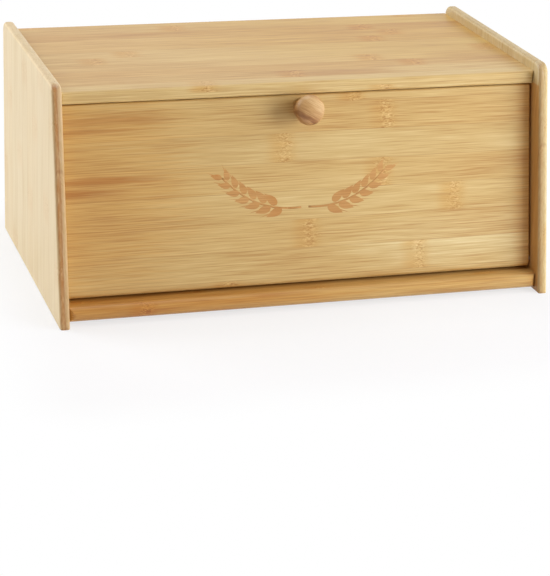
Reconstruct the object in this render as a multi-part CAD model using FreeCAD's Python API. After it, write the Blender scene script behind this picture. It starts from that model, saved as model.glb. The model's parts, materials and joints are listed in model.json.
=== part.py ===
"""Bamboo bread box with a drop-front door.

Millimetres. +Z is up, the front faces -Y and +X is to the right of someone who faces the front.
The origin is the middle of the rectangle that the box covers on its shelf, at shelf height.
Each piece is one node, written to parts/NODE.step.
"""
import FreeCAD, Part
import math
import os

# ---------------------------------------------------------------- driving sizes: the case
overall_width = 400.0        # outside the two side panels
overall_depth = 240.0        # bottom edge of a side panel, back to front
overall_height = 182.0       # top edge of the side panels
front_slant_deg = 10.5       # the front edges and the door lean back by this much

side_thickness = 8.0
side_corner_radius = 9.0     # upper corners of a side panel, seen from the side
side_edge_round = 2.5        # rounding along the arrises of a side panel
side_foot_chamfer = 0.8      # smaller easing along its bottom edge

top_thickness = 10.0
top_below_sides = 8.0        # the side panels stand this far above the top panel
top_overhang = 3.0           # top panel in front of the door's face, at the panel's underside
top_front_round = 2.5        # front arrises of the top panel
top_corner_round = 3.0       # front corners of the top panel, seen from above

floor_thickness = 8.0
floor_clearance = 2.5        # under the floor, the rails and the rest of the case
front_rail_thickness = 12.5
front_rail_depth = 26.0
front_rail_setback = 5.0     # nose of the rail behind the foot of the side panel
front_rail_corner_round = 6.0    # front corners of the rail, seen from above

back_thickness = 8.0
back_rail_thickness = 12.0
back_rail_height = 25.0

# ---------------------------------------------------------------- driving sizes: the door
door_thickness = 9.0
door_setback = 14.5          # outer face behind the side panels' front edges, square to them
door_side_gap = 1.2          # between the door's end and a side panel
door_top_gap = 0.6           # between the door's free edge and the underside of the top panel
door_edge_round = 1.8
door_hinge_edge_round = 3.5
pivot_above_rail = 7.5       # hinge axis above the front rail
pivot_from_edge = 6.0        # hinge axis to the door's lower edge

pin_diameter = 4.0
pin_in_door = 10.0
pin_in_side = 5.0
pin_running_gap = 0.05       # radial, between a pin and its hole in the side panel
pin_end_gap = 0.5            # between a pin's end and the bottom of its hole

knob_diameter = 23.5
knob_height = 22.8
knob_base_diameter = 17.0
knob_base_height = 2.5
knob_waist_diameter = 11.0
knob_waist_height = 7.5      # middle of the waist above the door
knob_rim_height = 15.8       # widest part of the head above the door
knob_face_diameter = 20.0
knob_face_height = 20.5      # edge of the domed face above the door
knob_from_free_edge = 11.0
knob_screw_bite = 15.0       # length of screw inside the knob

# ---------------------------------------------------------------- driving sizes: the catch
catch_block_width = 21.0
catch_block_depth = 24.0
catch_block_below_magnet = 8.0   # block under the magnet's middle
catch_block_ease = 0.6
catch_gap = 0.3              # closed door to the face of the catch block
magnet_diameter = 5.5
magnet_length = 6.0
magnet_proud = 1.2
magnet_edge_round = 0.4

# ---------------------------------------------------------------- driving sizes: fasteners
dowel_diameter = 5.0
dowel_length = 22.0
dowel_in_side = 5.5
dowel_end_chamfer = 0.6
glue_gap = 0.05              # radial, between a dowel and its hole
dowels_along_panel = 3
dowel_edge_margin = 30.0     # first and last dowel from the panel's edges
hole_end_gap = 0.4           # between the end of a dowel or screw and the bottom of its hole

screw_shank_diameter = 4.0
knob_screw_head_diameter = 6.4
knob_screw_head_height = 1.0
knob_screw_head_round = 0.3
counterbore_diameter = 7.4
counterbore_depth = 2.2
block_screw_shank_diameter = 3.5
block_screw_head_diameter = 7.0
block_screw_bite = 6.0       # length of screw inside the top panel
screw_hole_gap = 0.15        # radial, between a screw's shank and a hole that it only passes through
driver_slot_length = 3.2
driver_slot_width = 0.8
driver_slot_depth = 0.6

# ---------------------------------------------------------------- places that follow from them
X_AXIS = FreeCAD.Vector(1, 0, 0)
Y_AXIS = FreeCAD.Vector(0, 1, 0)
Z_AXIS = FreeCAD.Vector(0, 0, 1)
slant = math.radians(front_slant_deg)

inner_half = overall_width / 2 - side_thickness      # middle of the box to a side's inner face
inner_width = 2 * inner_half
back_y = overall_depth / 2
foot_front_y = -overall_depth / 2
rail_top_z = floor_clearance + front_rail_thickness
top_surface_z = overall_height - top_below_sides
top_underside_z = top_surface_z - top_thickness
floor_surface_z = floor_clearance + floor_thickness
rail_front_y = foot_front_y + front_rail_setback
rail_back_y = rail_front_y + front_rail_depth
back_rail_front_y = back_y - back_rail_thickness
back_rail_top_z = floor_clearance + back_rail_height

# The slanted frame of the door: out of the box along "outward", up the door along "upward".
outward = FreeCAD.Vector(0, -math.cos(slant), math.sin(slant))
upward = FreeCAD.Vector(0, math.sin(slant), math.cos(slant))


def slanted_y(height, inset):
    """Y at a height on a plane that lies inset behind the side panels' front edges."""
    return foot_front_y + inset / math.cos(slant) + height * math.tan(slant)


pivot_height = rail_top_z + pivot_above_rail
pivot_inset = door_setback + door_thickness / 2      # front edges of the sides to the hinge axis
pivot = FreeCAD.Vector(0, slanted_y(pivot_height, pivot_inset), pivot_height)
door_half_length = inner_half - door_side_gap        # middle of the door to its end
outer_face_z = pivot_height + door_thickness / 2 * math.sin(slant)    # door's face beside the hinge axis
free_edge_up = (top_underside_z - door_top_gap - outer_face_z) / math.cos(slant)
knob_up = free_edge_up - knob_from_free_edge         # hinge axis to the knob's axis
top_front_y = slanted_y(top_underside_z, door_setback) - top_overhang
catch_inset = door_setback + door_thickness + catch_gap


# ---------------------------------------------------------------- helpers
def box(x0, x1, y0, y1, z0, z1):
    return Part.makeBox(x1 - x0, y1 - y0, z1 - z0, FreeCAD.Vector(x0, y0, z0))


def edges_where(shape, test):
    """The edges of a shape whose every sampled point passes a test."""
    picked = []
    for edge in shape.Edges:
        first, last = edge.ParameterRange
        points = [edge.valueAt(first + (last - first) * part) for part in (0.1, 0.5, 0.9)]
        if all(test(point) for point in points):
            picked.append(edge)
    return picked


def near(a, b, tolerance=0.01):
    return abs(a - b) < tolerance


def hinged(shape):
    """Move a piece drawn about the hinge axis, door upright, to its closed, leaning place."""
    moved = shape.copy()
    moved.rotate(FreeCAD.Vector(0, 0, 0), X_AXIS, -front_slant_deg)
    moved.translate(pivot)
    return moved


def nosed_board(front_y, rear_y, low_z, high_z, arris_round, corner_round):
    """A board between the side panels, its front rounded above and below and at both corners."""
    x = -inner_half
    nose_y = front_y + arris_round
    sweep = arris_round * math.sqrt(0.5)
    low_centre = FreeCAD.Vector(x, nose_y, low_z + arris_round)
    high_centre = FreeCAD.Vector(x, nose_y, high_z - arris_round)
    points = [
        FreeCAD.Vector(x, rear_y, low_z), FreeCAD.Vector(x, nose_y, low_z),
        low_centre - Y_AXIS * arris_round, high_centre - Y_AXIS * arris_round,
        FreeCAD.Vector(x, nose_y, high_z), FreeCAD.Vector(x, rear_y, high_z)]
    edges = [
        Part.LineSegment(points[0], points[1]).toShape(),
        Part.Arc(points[1], low_centre - (Y_AXIS + Z_AXIS) * sweep, points[2]).toShape(),
        Part.Arc(points[3], high_centre + (Z_AXIS - Y_AXIS) * sweep, points[4]).toShape(),
        Part.LineSegment(points[4], points[5]).toShape(),
        Part.LineSegment(points[5], points[0]).toShape()]
    if points[3].z - points[2].z > 0.001:
        edges.insert(2, Part.LineSegment(points[2], points[3]).toShape())
    board = Part.Face(Part.Wire(edges)).extrude(X_AXIS * inner_width)
    plan = box(-inner_half, inner_half, front_y, rear_y, low_z, high_z)
    corners = edges_where(plan, lambda p: near(p.y, front_y) and near(abs(p.x), inner_half))
    return board.common(plan.makeFillet(corner_round, corners))


def mirrored(shape):
    return shape.mirror(FreeCAD.Vector(0, 0, 0), X_AXIS)


def spread(first, last, count):
    """Evenly spaced places from first to last."""
    if count == 1:
        return [(first + last) / 2]
    return [first + (last - first) * index / (count - 1) for index in range(count)]


def dowel(y, z):
    """One chamfered dowel across the joint with the right-hand side panel."""
    start = inner_half + dowel_in_side - dowel_length
    rod = Part.makeCylinder(dowel_diameter / 2, dowel_length, FreeCAD.Vector(start, y, z), X_AXIS)
    ends = edges_where(rod, lambda p: near(p.x, start) or near(p.x, start + dowel_length))
    return rod.makeChamfer(dowel_end_chamfer, ends)


def dowel_hole(y, z):
    """The hole that a dowel fills, drilled both ways from the joint."""
    start = inner_half + dowel_in_side - dowel_length - hole_end_gap
    length = dowel_length + 2 * hole_end_gap
    radius = dowel_diameter / 2 + glue_gap
    return Part.makeCylinder(radius, length, FreeCAD.Vector(start, y, z), X_AXIS)


def cut_both_ends(panel, places):
    """Drill a panel for its dowels at the right end and, mirrored, at the left end."""
    for y, z in places:
        hole = dowel_hole(y, z)
        panel = panel.cut(hole).cut(mirrored(hole))
    return panel


def driver_slots(centre, direction, across):
    """A cross recess in a screw head, sunk from centre against direction."""
    half = driver_slot_length / 2
    width = driver_slot_width / 2
    cross = box(-half, half, -width, width, -driver_slot_depth, driver_slot_depth)
    cross = cross.fuse(box(-width, width, -half, half, -driver_slot_depth, driver_slot_depth))
    turn = FreeCAD.Rotation(across, direction.cross(across), direction, "ZXY")
    cross.Placement = FreeCAD.Placement(centre, turn)
    return cross


# ---------------------------------------------------------------- dowel places, (y, z) in each joint
top_dowels = [
    (y, top_surface_z - top_thickness / 2)
    for y in spread(top_front_y + dowel_edge_margin, back_y - dowel_edge_margin, dowels_along_panel)]
floor_dowels = [
    (y, floor_surface_z - floor_thickness / 2)
    for y in spread(rail_back_y + dowel_edge_margin, back_rail_front_y - dowel_edge_margin,
                    dowels_along_panel)]
back_dowels = [
    (back_y - back_thickness / 2, z)
    for z in spread(back_rail_top_z + dowel_edge_margin, top_underside_z - dowel_edge_margin,
                    dowels_along_panel)]
front_rail_dowels = [((rail_front_y + rail_back_y) / 2, floor_clearance + front_rail_thickness / 2)]
back_rail_dowels = [(back_y - back_rail_thickness / 2, floor_clearance + back_rail_height / 2)]
all_dowels = top_dowels + floor_dowels + back_dowels + front_rail_dowels + back_rail_dowels


# ---------------------------------------------------------------- the case
def side_outline():
    """Outline of a side panel in the YZ plane: upright back, slanted front, two round corners."""
    foot_front = FreeCAD.Vector(0, foot_front_y, 0)
    top_front = FreeCAD.Vector(0, slanted_y(overall_height, 0), overall_height)
    top_back = FreeCAD.Vector(0, back_y, overall_height)
    foot_back = FreeCAD.Vector(0, back_y, 0)
    radius = side_corner_radius
    back_centre = top_back + FreeCAD.Vector(0, -radius, -radius)
    # The front corner turns through 90 degrees less the slant.
    reach = radius / math.tan((math.pi / 2 + slant) / 2)
    front_centre = top_front + FreeCAD.Vector(0, reach, -radius)
    front_low = front_centre + outward * radius
    front_top = front_centre + Z_AXIS * radius
    back_top = back_centre + Z_AXIS * radius
    back_low = back_centre + Y_AXIS * radius
    front_mid = front_centre + (outward + Z_AXIS).normalize() * radius
    back_mid = back_centre + (Y_AXIS + Z_AXIS).normalize() * radius
    return Part.Wire([
        Part.LineSegment(foot_front, front_low).toShape(),
        Part.Arc(front_low, front_mid, front_top).toShape(),
        Part.LineSegment(front_top, back_top).toShape(),
        Part.Arc(back_top, back_mid, back_low).toShape(),
        Part.LineSegment(back_low, foot_back).toShape(),
        Part.LineSegment(foot_back, foot_front).toShape()])


def side_panel_right():
    panel = Part.Face(side_outline()).extrude(X_AXIS * side_thickness)
    panel.translate(X_AXIS * inner_half)
    faces_x = (inner_half, inner_half + side_thickness)
    rim = edges_where(
        panel, lambda p: p.z > 0.01 and any(near(p.x, face_x) for face_x in faces_x))
    panel = panel.makeFillet(side_edge_round, rim)
    for face_x in faces_x:
        bar_side = side_foot_chamfer * math.sqrt(2)
        bar = box(-bar_side / 2, bar_side / 2, foot_front_y - 1, back_y + 1, -bar_side / 2, bar_side / 2)
        bar.rotate(FreeCAD.Vector(0, 0, 0), Y_AXIS, 45)
        bar.translate(X_AXIS * face_x)
        panel = panel.cut(bar)
    for y, z in all_dowels:
        panel = panel.cut(dowel_hole(y, z))
    pin_hole = Part.makeCylinder(
        pin_diameter / 2 + pin_running_gap, pin_in_side + pin_end_gap,
        FreeCAD.Vector(inner_half, pivot.y, pivot.z), X_AXIS)
    return panel.cut(pin_hole)


def top_panel():
    panel = nosed_board(
        top_front_y, back_y, top_underside_z, top_surface_z, top_front_round, top_corner_round)
    panel = cut_both_ends(panel, top_dowels)
    pilot = Part.makeCylinder(
        block_screw_shank_diameter / 2, block_screw_bite + hole_end_gap,
        FreeCAD.Vector(0, block_screw_y, top_underside_z), Z_AXIS)
    return panel.cut(pilot)


def floor_panel():
    panel = box(-inner_half, inner_half, rail_back_y, back_rail_front_y,
                floor_clearance, floor_surface_z)
    return cut_both_ends(panel, floor_dowels)


def front_rail():
    """Strip along the foot of the doorway, with a half-round nose."""
    rail = nosed_board(
        rail_front_y, rail_back_y, floor_clearance, rail_top_z,
        front_rail_thickness / 2, front_rail_corner_round)
    return cut_both_ends(rail, front_rail_dowels)


def back_panel():
    panel = box(-inner_half, inner_half, back_y - back_thickness, back_y,
                back_rail_top_z, top_underside_z)
    return cut_both_ends(panel, back_dowels)


def back_rail():
    rail = box(-inner_half, inner_half, back_rail_front_y, back_y, floor_clearance, back_rail_top_z)
    return cut_both_ends(rail, back_rail_dowels)


# ---------------------------------------------------------------- the door, drawn upright about its hinge axis
door_outer_y = -door_thickness / 2
door_inner_y = door_thickness / 2
door_low_z = -pivot_from_edge
door_high_z = free_edge_up


def door_panel():
    door = box(-door_half_length, door_half_length, door_outer_y, door_inner_y, door_low_z, door_high_z)
    hinge_edges = edges_where(door, lambda p: near(p.z, door_low_z) and abs(p.x) < door_half_length - 1)
    door = door.makeFillet(door_hinge_edge_round, hinge_edges)
    other_edges = edges_where(
        door, lambda p: near(abs(p.x), door_half_length) or near(p.z, door_high_z))
    door = door.makeFillet(door_edge_round, other_edges)
    for sign in (-1, 1):
        start = FreeCAD.Vector(sign * door_half_length, 0, 0)
        door = door.cut(Part.makeCylinder(pin_diameter / 2, pin_in_door, start, X_AXIS * -sign))
    bottom_y = door_inner_y - counterbore_depth
    door = door.cut(Part.makeCylinder(
        counterbore_diameter / 2, counterbore_depth, FreeCAD.Vector(0, bottom_y, knob_up), Y_AXIS))
    door = door.cut(Part.makeCylinder(
        screw_shank_diameter / 2 + screw_hole_gap, door_thickness,
        FreeCAD.Vector(0, door_outer_y, knob_up), Y_AXIS))
    return hinged(door)


def hinge_pin_right():
    length = pin_in_side + door_side_gap + pin_in_door
    start = FreeCAD.Vector(door_half_length - pin_in_door, 0, 0)
    return hinged(Part.makeCylinder(pin_diameter / 2, length, start, X_AXIS))


def door_knob():
    """Turned mushroom knob: a flared base, a waist, and a head with a slightly domed face."""
    base = knob_base_diameter / 2
    waist = knob_waist_diameter / 2
    rim = knob_diameter / 2
    face = knob_face_diameter / 2
    dome = knob_height - knob_face_height
    dome_radius = (face * face + dome * dome) / (2 * dome)
    dome_half_turn = math.asin(face / dome_radius) / 2

    def at(out, radius):
        return FreeCAD.Vector(radius, door_outer_y - out, knob_up)

    dome_middle = at(
        knob_height - dome_radius * (1 - math.cos(dome_half_turn)),
        dome_radius * math.sin(dome_half_turn))
    flank = Part.BSplineCurve()
    flank.interpolate([
        at(knob_base_height, base),
        at((knob_base_height + knob_waist_height) / 2, (base * 2 + waist) / 3),
        at(knob_waist_height, waist),
        at((knob_waist_height + knob_rim_height) / 2, (waist + rim * 2) / 3),
        at(knob_rim_height, rim),
        at((knob_rim_height + knob_face_height) / 2, (rim * 3 + face) / 4),
        at(knob_face_height, face)])
    outline = Part.Wire([
        Part.LineSegment(at(0, 0), at(0, base)).toShape(),
        Part.LineSegment(at(0, base), at(knob_base_height, base)).toShape(),
        flank.toShape(),
        Part.Arc(at(knob_face_height, face), dome_middle, at(knob_height, 0)).toShape(),
        Part.LineSegment(at(knob_height, 0), at(0, 0)).toShape()])
    knob = Part.makeSolid(Part.Face(outline).revolve(FreeCAD.Vector(0, 0, knob_up), Y_AXIS, 360))
    pilot = Part.makeCylinder(
        screw_shank_diameter / 2, knob_screw_bite + hole_end_gap,
        FreeCAD.Vector(0, door_outer_y, knob_up), -Y_AXIS)
    return hinged(knob.cut(pilot))


def knob_screw():
    seat_y = door_inner_y - counterbore_depth
    tip_y = door_outer_y - knob_screw_bite
    shank = Part.makeCylinder(
        screw_shank_diameter / 2, seat_y - tip_y, FreeCAD.Vector(0, tip_y, knob_up), Y_AXIS)
    head = Part.makeCylinder(
        knob_screw_head_diameter / 2, knob_screw_head_height, FreeCAD.Vector(0, seat_y, knob_up), Y_AXIS)
    head_top = seat_y + knob_screw_head_height
    head = head.makeFillet(knob_screw_head_round, edges_where(head, lambda p: near(p.y, head_top)))
    screw = head.fuse(shank).removeSplitter()
    screw = screw.cut(driver_slots(FreeCAD.Vector(0, head_top, knob_up), Y_AXIS, X_AXIS))
    return hinged(screw)


# ---------------------------------------------------------------- the catch under the top panel
magnet_face = pivot + upward * knob_up - outward * (door_thickness / 2 + catch_gap)
block_low_z = magnet_face.z - catch_block_below_magnet
block_height = top_underside_z - block_low_z
block_front_top_y = slanted_y(top_underside_z, catch_inset)
block_back_y = block_front_top_y + catch_block_depth
block_screw_y = block_back_y - catch_block_depth / 3


def catch_block():
    """Small block glued and screwed under the top panel, its face cut to the slant of the door."""
    x = -catch_block_width / 2
    front_low = FreeCAD.Vector(x, slanted_y(block_low_z, catch_inset), block_low_z)
    outline = Part.makePolygon([
        front_low,
        FreeCAD.Vector(x, block_front_top_y, top_underside_z),
        FreeCAD.Vector(x, block_back_y, top_underside_z),
        FreeCAD.Vector(x, block_back_y, block_low_z),
        front_low])
    block = Part.Face(outline).extrude(X_AXIS * catch_block_width)
    eased = edges_where(block, lambda p: p.z < top_underside_z - 0.01)
    block = block.makeChamfer(catch_block_ease, eased)
    socket_depth = magnet_length - magnet_proud
    block = block.cut(Part.makeCylinder(magnet_diameter / 2, socket_depth, magnet_face, -outward))
    screw_foot = FreeCAD.Vector(0, block_screw_y, block_low_z)
    block = block.cut(Part.makeCylinder(
        block_screw_shank_diameter / 2 + screw_hole_gap, block_height, screw_foot, Z_AXIS))
    block = block.cut(Part.makeCone(
        block_screw_head_diameter / 2, block_screw_shank_diameter / 2,
        (block_screw_head_diameter - block_screw_shank_diameter) / 2, screw_foot, Z_AXIS))
    return block


def catch_magnet():
    tip = magnet_face + outward * magnet_proud
    magnet = Part.makeCylinder(magnet_diameter / 2, magnet_length, tip, -outward)
    rim = edges_where(magnet, lambda p: near((p - tip).dot(outward), 0))
    return magnet.makeFillet(magnet_edge_round, rim)


def catch_block_screw():
    foot = FreeCAD.Vector(0, block_screw_y, block_low_z)
    head_height = (block_screw_head_diameter - block_screw_shank_diameter) / 2
    head = Part.makeCone(
        block_screw_head_diameter / 2, block_screw_shank_diameter / 2, head_height, foot, Z_AXIS)
    shank = Part.makeCylinder(
        block_screw_shank_diameter / 2, block_height + block_screw_bite - head_height,
        foot + Z_AXIS * head_height, Z_AXIS)
    screw = head.fuse(shank).removeSplitter()
    return screw.cut(driver_slots(foot, -Z_AXIS, X_AXIS))


# ---------------------------------------------------------------- write every node
def dowel_group(places):
    return Part.makeCompound([dowel(y, z) for y, z in places])


os.makedirs("parts", exist_ok=True)

nodes = {
    "side_panel_right": side_panel_right(),
    "side_panel_left": mirrored(side_panel_right()),
    "top_panel": top_panel(),
    "floor_panel": floor_panel(),
    "front_rail": front_rail(),
    "back_panel": back_panel(),
    "back_rail": back_rail(),
    "door_panel": door_panel(),
    "door_knob": door_knob(),
    "knob_screw": knob_screw(),
    "hinge_pin_right": hinge_pin_right(),
    "hinge_pin_left": mirrored(hinge_pin_right()),
    "catch_block": catch_block(),
    "catch_magnet": catch_magnet(),
    "catch_block_screw": catch_block_screw(),
}
joints = {
    "top_panel_dowels": top_dowels,
    "floor_panel_dowels": floor_dowels,
    "back_panel_dowels": back_dowels,
    "front_rail_dowel": front_rail_dowels,
    "back_rail_dowel": back_rail_dowels,
}
for name, places in joints.items():
    nodes[name + "_right"] = dowel_group(places)
    nodes[name + "_left"] = mirrored(dowel_group(places))

for name, shape in nodes.items():
    if not shape.isValid():
        print("not valid:", name)
    shape.exportStep("parts/" + name + ".step")

print("nodes", len(nodes))
print("hinge axis y %.3f z %.3f" % (pivot.y, pivot.z))
print("door %.2f long, level after %.2f degrees" % (
    pivot_from_edge + free_edge_up, 90 + front_slant_deg))
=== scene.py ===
# %% [markdown]
# # A bamboo bread box with a drop-front door
#
# This notebook dresses a finished cabinet-maker's model: a low box of glued bamboo boards, closed by a
# door that leans back and drops forward on two pins. The joinery is already settled in the frame, so
# nothing here moves or resizes a board. What is left is the part that a customer sees: strips of bamboo
# with their knuckles and fibres, a turned knob, a scorched ornament on the door, and soft studio light.

# %% Load the fixed frame
import json
import math
import random

import bpy
from mathutils import Matrix, Vector


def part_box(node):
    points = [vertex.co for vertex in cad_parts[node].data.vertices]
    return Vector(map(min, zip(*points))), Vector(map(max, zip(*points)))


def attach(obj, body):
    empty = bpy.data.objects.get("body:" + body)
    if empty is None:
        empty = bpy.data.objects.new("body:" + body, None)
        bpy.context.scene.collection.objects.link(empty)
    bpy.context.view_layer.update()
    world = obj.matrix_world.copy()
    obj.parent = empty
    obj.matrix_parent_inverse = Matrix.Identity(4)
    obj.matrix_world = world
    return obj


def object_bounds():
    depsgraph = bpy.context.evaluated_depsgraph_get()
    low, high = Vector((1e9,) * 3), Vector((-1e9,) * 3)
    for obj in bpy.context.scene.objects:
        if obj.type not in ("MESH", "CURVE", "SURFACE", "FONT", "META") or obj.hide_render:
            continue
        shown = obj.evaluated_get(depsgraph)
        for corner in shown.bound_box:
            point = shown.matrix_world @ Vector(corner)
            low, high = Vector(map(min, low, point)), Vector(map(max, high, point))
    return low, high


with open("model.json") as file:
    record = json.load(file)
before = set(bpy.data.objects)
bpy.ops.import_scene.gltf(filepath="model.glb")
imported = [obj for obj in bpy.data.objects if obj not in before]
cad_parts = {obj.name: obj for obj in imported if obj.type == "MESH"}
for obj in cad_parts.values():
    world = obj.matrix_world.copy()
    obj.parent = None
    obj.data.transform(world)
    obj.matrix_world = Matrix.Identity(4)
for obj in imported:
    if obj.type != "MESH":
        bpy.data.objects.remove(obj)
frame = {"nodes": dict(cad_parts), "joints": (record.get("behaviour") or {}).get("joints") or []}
nodes = frame["nodes"]
cad_bounds = [list(corner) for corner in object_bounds()]
print("nodes:", len(nodes), "box:", cad_bounds)

# %% [markdown]
# ## Directions and places
#
# Wood has a direction, so every finish below needs to know which way its fibres run. Most boards line
# up with the axes of the box. The door does not: it leans back, and so do the front edges of the side
# panels. Two unit vectors describe that lean, one up the door and one straight out of it, and the door's
# outer face is then half a board's thickness out from the hinge axis.

# %% Name the directions
MM = 0.001
RIGHT = Vector((1, 0, 0))
BACK = Vector((0, 1, 0))
UP = Vector((0, 0, 1))

door_lean = math.radians(10.5)
up_the_door = Vector((0, math.sin(door_lean), math.cos(door_lean)))
out_of_door = Vector((0, -math.cos(door_lean), math.sin(door_lean)))

hinge_axis = Vector(frame["joints"][0]["pos_m"])
door_thickness = 9 * MM
hinge_to_lower_edge = 6 * MM
door_face = hinge_axis + out_of_door * (door_thickness / 2)

side_low, side_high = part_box("side_panel_left")
top_low, top_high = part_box("top_panel")
print("door face beside the hinge:", tuple(round(value, 4) for value in door_face))

# %% [markdown]
# ## A small vocabulary for shader nodes
#
# A procedural finish is a small calculation that runs at every point of a surface. Written out with
# Blender's node API each step takes several lines, and the idea gets lost. The helpers below keep one
# step on one line: each adds a node, feeds its inputs with numbers or with the results of other nodes,
# and gives back the output that the next step needs.


# %% Shader helpers
def feed(tree, socket, value):
    """Link a node's result to a socket, or set the socket to a plain value."""
    if isinstance(value, bpy.types.NodeSocket):
        tree.links.new(value, socket)
    else:
        socket.default_value = value


def add(tree, kind, *inputs, output=0, **settings):
    """Add a node, set its options, feed its inputs in order and return one output."""
    made = tree.nodes.new(kind)
    for name, value in settings.items():
        setattr(made, name, value)
    for socket, value in zip(made.inputs, inputs):
        if value is not None:
            feed(tree, socket, value)
    return made.outputs[output]


def maths(tree, operation, *values):
    return add(tree, "ShaderNodeMath", *values, operation=operation)


def along(tree, place, direction):
    """How far a place lies in a direction: the dot product of the two."""
    made = tree.nodes.new("ShaderNodeVectorMath")
    made.operation = "DOT_PRODUCT"
    feed(tree, made.inputs[0], place)
    feed(tree, made.inputs[1], direction)
    return made.outputs["Value"]


def smooth(tree, value, low, high, at_low=0.0, at_high=1.0):
    """A soft step between two values."""
    made = tree.nodes.new("ShaderNodeMapRange")
    made.interpolation_type = "SMOOTHSTEP"
    for name, number in zip(("Value", "From Min", "From Max", "To Min", "To Max"),
                            (value, low, high, at_low, at_high)):
        feed(tree, made.inputs[name], number)
    return made.outputs["Result"]


def noise(tree, x, y, z, detail=2.0, roughness=0.5, distortion=0.0):
    """Noise about 0.5, over three coordinates that are already scaled."""
    place = add(tree, "ShaderNodeCombineXYZ", x, y, z)
    made = tree.nodes.new("ShaderNodeTexNoise")
    for name, value in (("Vector", place), ("Scale", 1.0), ("Detail", detail),
                        ("Roughness", roughness), ("Distortion", distortion)):
        feed(tree, made.inputs[name], value)
    return made.outputs["Fac"]


def blend(tree, factor, first, second, mode="MIX"):
    made = tree.nodes.new("ShaderNodeMix")
    made.data_type = "RGBA"
    made.blend_type = mode
    feed(tree, made.inputs[0], factor)
    feed(tree, made.inputs[6], first)
    feed(tree, made.inputs[7], second)
    return made.outputs[2]


def ramp(tree, factor, stops, interpolation="LINEAR"):
    """A colour ramp through (position, colour) stops."""
    made = tree.nodes.new("ShaderNodeValToRGB")
    made.color_ramp.interpolation = interpolation
    elements = made.color_ramp.elements
    while len(elements) < len(stops):
        elements.new(1.0)
    for element, (position, colour) in zip(elements, stops):
        element.position = position
        element.color = colour
    feed(tree, made.inputs["Fac"], factor)
    return made.outputs["Color"]


def colour(red, green, blue):
    """A colour written as a screen shows it, from 0 to 255, as the linear light that shaders use."""
    def linear(value):
        share = value / 255
        return share / 12.92 if share <= 0.04045 else ((share + 0.055) / 1.055) ** 2.4
    return (linear(red), linear(green), linear(blue), 1.0)


def new_finish(name):
    """An empty material with its shader: the material, its tree and the shader's inputs."""
    material = bpy.data.materials.new(name)
    material.use_nodes = True
    shader = material.node_tree.nodes["Principled BSDF"]
    return material, material.node_tree, shader.inputs


# %% [markdown]
# ## Bamboo boards
#
# A bamboo board is not sawn from a trunk. Thin slats are planed from the wall of the stalk and glued
# side by side, so a board shows strips about 20 mm wide. Each strip has its own shade, long straight
# fibres, and a knuckle every 30 cm or so, where a leaf once grew and the fibres tangle for a few
# millimetres. Because the slats are shifted before gluing, the knuckles of neighbouring strips never
# line up. The ends of a board show the cut fibres as small dark dots.
#
# A picture of wood would repeat, and would run the same way on every board; a procedural finish can
# follow each board's own grain direction, at its real size. The recipe measures three distances at each
# point, in millimetres: u along the grain, v across the strips, and w through the board. The whole part
# of v divided by the strip width says which strip a point is in, and a stepped colour ramp holds what is
# particular to each strip: its shade, where its knuckle is, and how warm it is. w starts at the board's
# face and grows into the board, which is itself glued up from layers with knuckles of their own.
#
# Over that come a few tints. Some belong to the wood: stains and a golden halo round each knuckle.
# Pale, bluish patches lighten a few places on the door and the top. The others are painted shade and
# painted light. Painted shade stands in for the light inside the box, where every ray has been coloured
# by the boards it met before: the inner faces, the back and the floor are made browner than the same
# bamboo outside. Painted shade also makes the door's right end warmer, where the right side panel
# shades it, and lays a brown band on the rounded front edge of the left side panel, which is turned away
# from the key. Painted light makes the inner face of the door brighter. They are told apart by the
# direction that a face looks, and they stay with the board in any light.

# %% The colours of varnished bamboo
BAMBOO_SHADES = [
    (0.00, colour(146, 93, 43)),
    (0.28, colour(181, 137, 79)),
    (0.50, colour(204, 173, 115)),
    (0.72, colour(220, 196, 142)),
    (1.00, colour(238, 221, 186)),
]
WARM_TINT = colour(254, 246, 224)
COOL_TINT = colour(249, 252, 247)
BROWN_STAIN = colour(216, 176, 132)
HONEY_STAIN = colour(249, 228, 194)
# Painted shade: the inner faces, the back panel, the floor and the back rail are made browner inside the
# box.
LEFT_INNER_PAINTED_SHADE = colour(247, 236, 208)
RIGHT_INNER_PAINTED_SHADE = colour(248, 214, 178)
BACK_PAINTED_SHADE = colour(232, 202, 156)
FLOOR_PAINTED_SHADE = colour(246, 224, 200)
FOOT_PAINTED_SHADE = colour(253, 236, 214)
# Painted light: the door's inner face is made brighter than its outer face.
DOOR_BACK_PAINTED_LIGHT = (1.18, 1.21, 1.24, 1.0)
HONEY_HALO = colour(247, 228, 198)
GOLDEN_PATCH = colour(252, 247, 220)
# Painted shade: a warmer brown at the door's right end, where the right side panel shades it.
END_PAINTED_SHADE = colour(255, 234, 206)
GREYED_TINT = (0.91, 0.98, 1.14, 1.0)
PALE_PATCH = (1.08, 1.18, 1.40, 1.0)
# Painted shade: a brown band on the rounded front edge of the left side panel.
EDGE_PAINTED_SHADE = colour(208, 166, 122)
EDGE_TINT = colour(222, 206, 192)
SMOKE_STAIN = colour(150, 118, 96)
GLUE_TINT = colour(196, 156, 112)
SCORCH_TINT = colour(241, 212, 190)
PORE_TINT = colour(120, 76, 40)
KNUCKLE_PERIOD = 330.0       # mm along a stalk from one knuckle to the next
LAYER_SHIFT = 0.37           # share of the board by which the next layer's knuckles are shifted
OWN_STRIP, OWN_LAYER = 17.3, 7.7     # steps in the noise that keep strips and layers apart
EDGE_TINT_DEPTH = (1.0, 6.0)         # mm below the face over which an edge takes its tint


def strip_table(seed, count, shade=0.5, spread=0.05):
    """Made-up (shade, knuckle, warmth) for each strip of a board, with no two neighbours alike."""
    pick = random.Random(seed)
    rows = []
    for index in range(count):
        side = 1 if index % 2 else -1
        rows.append((
            shade + side * spread * pick.uniform(0.2, 1.0),
            (0.13 + 0.61 * index + pick.uniform(0.0, 0.2)) % 1.0,
            0.5 + spread * pick.uniform(-2.5, 2.5)))
    return rows


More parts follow.
